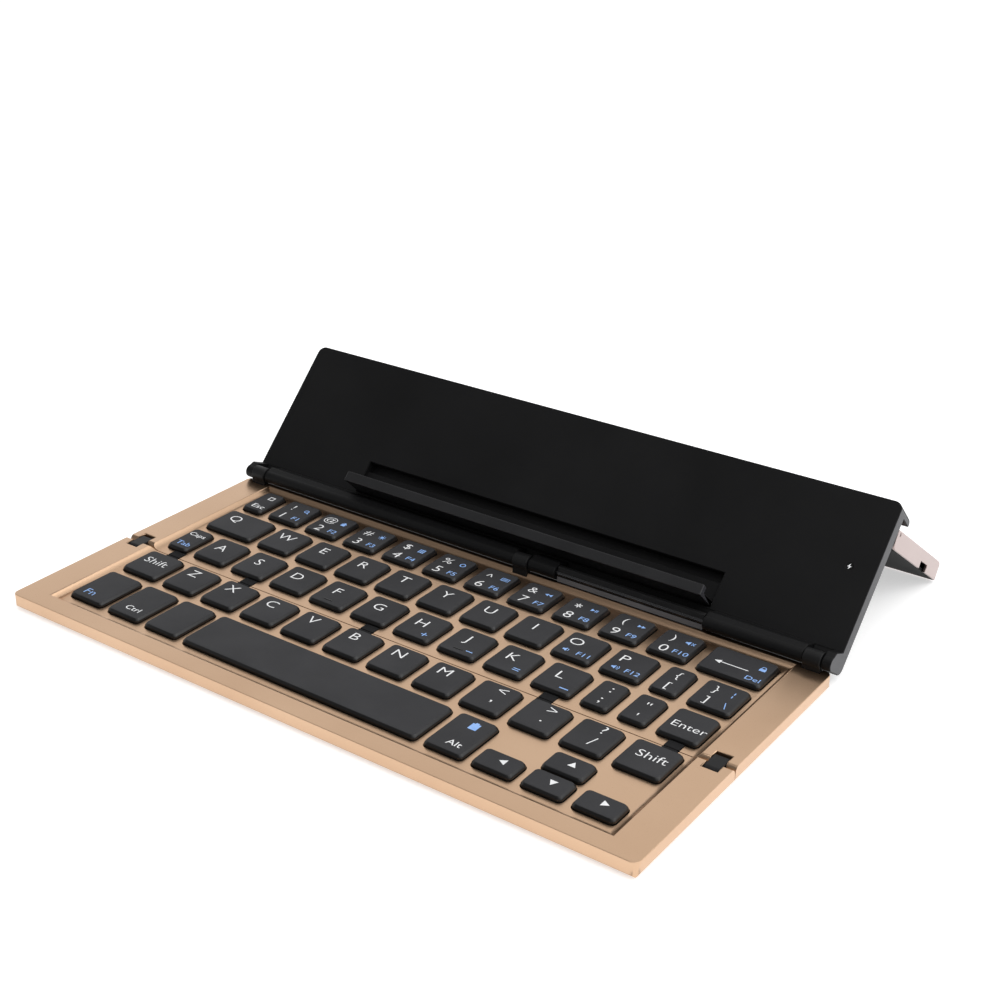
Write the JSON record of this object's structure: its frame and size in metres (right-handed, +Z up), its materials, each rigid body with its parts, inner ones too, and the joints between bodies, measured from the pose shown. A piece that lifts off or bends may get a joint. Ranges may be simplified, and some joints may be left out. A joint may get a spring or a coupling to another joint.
{
  "type": "folding keyboard",
  "caption": "Fold-in-half keyboard with a hinged tablet cover, a fold-out tablet ledge and a rear stand.",
  "frame": {"origin": "centre of the open keyboard's footprint, on the table under the feet", "axes": "+X to the user's right along the keys, +Y away from the user towards the stand, +Z up"},
  "size_m": [0.247, 0.2044, 0.0473],
  "materials": {
    "gold_aluminium": "anodised, fine satin, warm gold",
    "black_shell": "fine matt texture, near black",
    "black_hinge": "smooth, slightly glossy black",
    "key_plastic": "soft matt dark grey with white and blue legends",
    "rubber": "matt black",
    "steel": "plain steel",
    "film": "translucent polyester film with printed tracks",
    "white_plastic": "natural white moulding",
    "silicone": "soft translucent silicone",
    "battery_foil": "silver foil pouch",
    "board": "green solder mask with black chips",
    "lens": "clear light pipe"
  },
  "bodies": {
    "rear_leaf": {"rear_frame": "gold_aluminium", "rear_base_plate": "gold_aluminium", "rear_support_plate": "steel", "rear_membrane": "film", "rear_domes": "silicone", "rear_scissors": "white_plastic", "rear_feet": "rubber", "rear_screws": "steel", "rear_edge_pads": "rubber", "hinge_ears": "black_hinge", "hinge_pin": "steel", "cable_duct": "black_hinge"},
    "fold_links": {"fold_links": "black_hinge", "fold_pins": "steel"},
    "front_leaf": {"front_frame": "gold_aluminium", "front_base_plate": "gold_aluminium", "front_support_plate": "steel", "front_membrane": "film", "front_domes": "silicone", "front_scissors": "white_plastic", "front_feet": "rubber", "front_screws": "steel", "front_edge_pads": "rubber"},
    "cover": {"cover_front": "black_shell", "cover_back": "black_shell", "battery": "battery_foil", "circuit_boards": "board", "charge_socket": "steel", "charge_lens": "lens", "cover_screws": "steel", "ledge_pins": "steel"},
    "stand": {"stand_shell": "gold_aluminium", "stand_liner": "black_shell", "stand_pins": "steel"},
    "tablet_ledge": {"tablet_ledge": "black_shell"},
    "power_slider": {"power_slider": "black_shell"},
    "key_esc": {"key_esc": "key_plastic"},
    "keys_digits": {"keys_digits": "key_plastic"},
    "key_backspace": {"key_backspace": "key_plastic"},
    "key_q": {"key_q": "key_plastic"},
    "keys_top_letters": {"keys_top_letters": "key_plastic"},
    "key_bracket_open": {"key_bracket_open": "key_plastic"},
    "key_bracket_close": {"key_bracket_close": "key_plastic"},
    "key_caps": {"key_caps": "key_plastic"},
    "keys_home_letters": {"keys_home_letters": "key_plastic"},
    "key_semicolon": {"key_semicolon": "key_plastic"},
    "key_quote": {"key_quote": "key_plastic"},
    "key_enter": {"key_enter": "key_plastic"},
    "key_shift_left": {"key_shift_left": "key_plastic"},
    "keys_bottom_letters": {"keys_bottom_letters": "key_plastic"},
    "key_shift_right": {"key_shift_right": "key_plastic"},
    "key_fn": {"key_fn": "key_plastic"},
    "key_control": {"key_control": "key_plastic"},
    "key_system": {"key_system": "key_plastic"},
    "key_space": {"key_space": "key_plastic"},
    "key_alt": {"key_alt": "key_plastic"},
    "key_left": {"key_left": "key_plastic"},
    "key_down": {"key_down": "key_plastic"},
    "key_up": {"key_up": "key_plastic"},
    "key_right": {"key_right": "key_plastic"}
  },
  "joints": [
    {"name": "fold_link_turn", "type": "hinge", "parent": "rear_leaf", "child": "fold_links", "pos_m": [0, -0.04655, 0.0038], "axis": [-1, 0, 0], "range_deg": [0, 90]},
    {"name": "front_leaf_fold", "type": "hinge", "parent": "fold_links", "child": "front_leaf", "pos_m": [0, -0.05155, 0.0038], "axis": [-1, 0, 0], "range_deg": [0, 90]},
    {"name": "cover_turn", "type": "hinge", "parent": "rear_leaf", "child": "cover", "pos_m": [0, 0.01365, 0.009], "axis": [1, 0, 0], "range_deg": [0, 135]},
    {"name": "ledge_fold", "type": "hinge", "parent": "cover", "child": "tablet_ledge", "pos_m": [0, 0.02263, 0.01056], "axis": [-1, 0, 0], "range_deg": [0, 90]},
    {"name": "stand_fold", "type": "hinge", "parent": "cover", "child": "stand", "pos_m": [0, 0.06046, 0.03446], "axis": [-1, 0, 0], "range_deg": [0, 100]},
    {"name": "power_slide", "type": "slide", "parent": "cover", "child": "power_slider", "axis": [0, 0.7071, 0.7071], "range_m": [0, 0.002]},
    {"name": "press_esc", "type": "slide", "parent": "rear_leaf", "child": "key_esc", "axis": [0, 0, -1], "range_m": [0, 0.0012], "stiffness_N_per_m": 400, "springref_m": -0.0004},
    {"name": "press_digits", "type": "slide", "parent": "rear_leaf", "child": "keys_digits", "axis": [0, 0, -1], "range_m": [0, 0.0012], "stiffness_N_per_m": 1200, "springref_m": -0.0004},
    {"name": "press_backspace", "type": "slide", "parent": "rear_leaf", "child": "key_backspace", "axis": [0, 0, -1], "range_m": [0, 0.0012], "stiffness_N_per_m": 400, "springref_m": -0.0004},
    {"name": "press_q", "type": "slide", "parent": "rear_leaf", "child": "key_q", "axis": [0, 0, -1], "range_m": [0, 0.0012], "stiffness_N_per_m": 400, "springref_m": -0.0004},
    {"name": "press_top_letters", "type": "slide", "parent": "rear_leaf", "child": "keys_top_letters", "axis": [0, 0, -1], "range_m": [0, 0.0012], "stiffness_N_per_m": 1200, "springref_m": -0.0004},
    {"name": "press_bracket_open", "type": "slide", "parent": "rear_leaf", "child": "key_bracket_open", "axis": [0, 0, -1], "range_m": [0, 0.0012], "stiffness_N_per_m": 400, "springref_m": -0.0004},
    {"name": "press_bracket_close", "type": "slide", "parent": "rear_leaf", "child": "key_bracket_close", "axis": [0, 0, -1], "range_m": [0, 0.0012], "stiffness_N_per_m": 400, "springref_m": -0.0004},
    {"name": "press_caps", "type": "slide", "parent": "rear_leaf", "child": "key_caps", "axis": [0, 0, -1], "range_m": [0, 0.0012], "stiffness_N_per_m": 400, "springref_m": -0.0004},
    {"name": "press_home_letters", "type": "slide", "parent": "rear_leaf", "child": "keys_home_letters", "axis": [0, 0, -1], "range_m": [0, 0.0012], "stiffness_N_per_m": 1200, "springref_m": -0.0004},
    {"name": "press_semicolon", "type": "slide", "parent": "rear_leaf", "child": "key_semicolon", "axis": [0, 0, -1], "range_m": [0, 0.0012], "stiffness_N_per_m": 400, "springref_m": -0.0004},
    {"name": "press_quote", "type": "slide", "parent": "rear_leaf", "child": "key_quote", "axis": [0, 0, -1], "range_m": [0, 0.0012], "stiffness_N_per_m": 400, "springref_m": -0.0004},
    {"name": "press_enter", "type": "slide", "parent": "rear_leaf", "child": "key_enter", "axis": [0, 0, -1], "range_m": [0, 0.0012], "stiffness_N_per_m": 400, "springref_m": -0.0004},
    {"name": "press_shift_left", "type": "slide", "parent": "front_leaf", "child": "key_shift_left", "axis": [0, 0, -1], "range_m": [0, 0.0012], "stiffness_N_per_m": 400, "springref_m": -0.0004},
    {"name": "press_bottom_letters", "type": "slide", "parent": "front_leaf", "child": "keys_bottom_letters", "axis": [0, 0, -1], "range_m": [0, 0.0012], "stiffness_N_per_m": 1200, "springref_m": -0.0004},
    {"name": "press_shift_right", "type": "slide", "parent": "front_leaf", "child": "key_shift_right", "axis": [0, 0, -1], "range_m": [0, 0.0012], "stiffness_N_per_m": 400, "springref_m": -0.0004},
    {"name": "press_fn", "type": "slide", "parent": "front_leaf", "child": "key_fn", "axis": [0, 0, -1], "range_m": [0, 0.0012], "stiffness_N_per_m": 400, "springref_m": -0.0004},
    {"name": "press_control", "type": "slide", "parent": "front_leaf", "child": "key_control", "axis": [0, 0, -1], "range_m": [0, 0.0012], "stiffness_N_per_m": 400, "springref_m": -0.0004},
    {"name": "press_system", "type": "slide", "parent": "front_leaf", "child": "key_system", "axis": [0, 0, -1], "range_m": [0, 0.0012], "stiffness_N_per_m": 400, "springref_m": -0.0004},
    {"name": "press_space", "type": "slide", "parent": "front_leaf", "child": "key_space", "axis": [0, 0, -1], "range_m": [0, 0.0012], "stiffness_N_per_m": 400, "springref_m": -0.0004},
    {"name": "press_alt", "type": "slide", "parent": "front_leaf", "child": "key_alt", "axis": [0, 0, -1], "range_m": [0, 0.0012], "stiffness_N_per_m": 400, "springref_m": -0.0004},
    {"name": "press_left", "type": "slide", "parent": "front_leaf", "child": "key_left", "axis": [0, 0, -1], "range_m": [0, 0.0012], "stiffness_N_per_m": 400, "springref_m": -0.0004},
    {"name": "press_down", "type": "slide", "parent": "front_leaf", "child": "key_down", "axis": [0, 0, -1], "range_m": [0, 0.0012], "stiffness_N_per_m": 400, "springref_m": -0.0004},
    {"name": "press_up", "type": "slide", "parent": "front_leaf", "child": "key_up", "axis": [0, 0, -1], "range_m": [0, 0.0012], "stiffness_N_per_m": 400, "springref_m": -0.0004},
    {"name": "press_right", "type": "slide", "parent": "front_leaf", "child": "key_right", "axis": [0, 0, -1], "range_m": [0, 0.0012], "stiffness_N_per_m": 400, "springref_m": -0.0004}
  ],
  "couplings": [
    {"joint": "front_leaf_fold", "follows": "fold_link_turn", "ratio": 1},
    {"joint": "ledge_fold", "follows": "cover_turn", "ratio": 0.66666}
  ]
}
